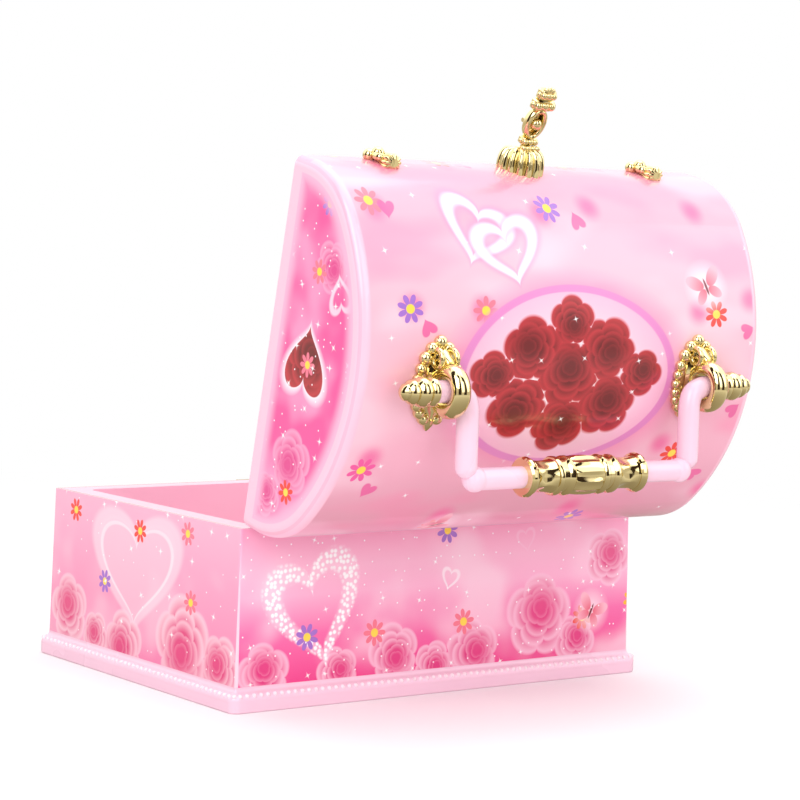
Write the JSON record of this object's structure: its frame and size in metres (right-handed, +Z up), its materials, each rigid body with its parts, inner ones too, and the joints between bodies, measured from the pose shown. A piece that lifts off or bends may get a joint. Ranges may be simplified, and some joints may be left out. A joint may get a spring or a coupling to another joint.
{
  "type": "ballerina jewellery box",
  "caption": "Domed pink jewellery box on a moulded plinth, with a gold-fitted carrying handle and hasp, a mirror in the lid and a wind-up movement that turns a dancer in the tray.",
  "frame": {"origin": "centre of the underside of the plinth, on the table", "axes": "+X along the length, +Y to the hinge side at the back, +Z up; the lid is stored open as in the picture"},
  "size_m": [0.165, 0.1921, 0.1956],
  "materials": {
    "printed_plastic": "glossy printed film on moulded plastic",
    "pale_plastic": "glossy moulded plastic",
    "mauve_plastic": "satin moulded plastic",
    "gold": "vacuum-metallised gold on moulded plastic",
    "steel": "bright steel",
    "nickel_plate": "nickel-plated casting",
    "brass": "turned brass",
    "mirror": "silvered",
    "white_plastic": "glossy",
    "figure_plastic": "painted",
    "tulle": "pleated tulle"
  },
  "bodies": {
    "base": {"base_shell": "printed_plastic", "plinth": "pale_plastic", "plinth_screws": "steel", "tray": "mauve_plastic", "keeper": "gold", "hinge_pins": "steel", "bedplate": "nickel_plate", "bedplate_screws": "steel", "comb": "steel", "comb_screws": "steel", "governor_bridge": "brass", "spindle_bush": "brass"},
    "lid": {"lid_shell": "printed_plastic", "mirror_frame": "mauve_plastic", "mirror": "mirror", "mirror_screws": "steel", "fitting_screws": "steel", "bracket_left": "gold", "bracket_right": "gold", "hasp_boss": "gold", "hasp_pin": "steel", "ornament_left": "gold", "ornament_right": "gold"},
    "handle": {"bail": "pale_plastic", "grip_sleeve": "gold", "finial_left": "gold", "finial_right": "gold"},
    "hasp": {"hasp_tongue": "gold"},
    "key": {"winding_key": "steel"},
    "barrel": {"spring_barrel": "brass", "barrel_cover": "brass", "mainspring": "steel"},
    "cylinder": {"cylinder": "brass", "cylinder_gear": "brass"},
    "governor": {"governor_wheel": "brass"},
    "fly": {"fly": "steel"},
    "dancer": {"dancer_spindle": "steel", "turntable": "white_plastic", "ballerina": "figure_plastic", "tutu": "tulle"},
    "stop": {"stop_pin": "steel"}
  },
  "joints": [
    {"name": "lid_hinge", "type": "hinge", "parent": "base", "child": "lid", "pos_m": [0, 0.05823, 0.0573], "axis": [1, 0, 0], "range_deg": [0, 101.3]},
    {"name": "handle_swing", "type": "hinge", "parent": "lid", "child": "handle", "pos_m": [0, 0.1225, 0.10337], "axis": [1, 0, 0], "range_deg": [-21.3, 178.7]},
    {"name": "hasp_pivot", "type": "hinge", "parent": "lid", "child": "hasp", "pos_m": [0, 0.08925, 0.17424], "axis": [1, 0, 0], "range_deg": [0, 109.2]},
    {"name": "key_turn", "type": "hinge", "parent": "base", "child": "key", "pos_m": [-0.012, 0.016, 0.006], "axis": [0, 0, 1], "continuous": true},
    {"name": "barrel_spin", "type": "hinge", "parent": "base", "child": "barrel", "pos_m": [-0.012, 0.016, 0.02], "axis": [0, 0, 1], "continuous": true},
    {"name": "cylinder_spin", "type": "hinge", "parent": "base", "child": "cylinder", "pos_m": [0.01, 0.016, 0.03065], "axis": [1, 0, 0], "continuous": true},
    {"name": "governor_spin", "type": "hinge", "parent": "base", "child": "governor", "pos_m": [0.025, 0.0256, 0.03065], "axis": [1, 0, 0], "continuous": true},
    {"name": "fly_spin", "type": "hinge", "parent": "base", "child": "fly", "pos_m": [0.0269, 0.0326, 0.024], "axis": [0, 0, 1], "continuous": true},
    {"name": "dancer_spin", "type": "hinge", "parent": "base", "child": "dancer", "pos_m": [0, 0.02658, 0.04], "axis": [0, 0, 1], "continuous": true},
    {"name": "stop_slide", "type": "slide", "parent": "base", "child": "stop", "axis": [0, 0, -1], "range_m": [0, 0.003]}
  ],
  "couplings": [
    {"joint": "cylinder_spin", "follows": "barrel_spin", "ratio": 2},
    {"joint": "governor_spin", "follows": "barrel_spin", "ratio": -4},
    {"joint": "fly_spin", "follows": "barrel_spin", "ratio": 40},
    {"joint": "dancer_spin", "follows": "barrel_spin", "ratio": -2.2},
    {"joint": "stop_slide", "follows": "lid_hinge", "m_per_rad": 0.0016968}
  ]
}
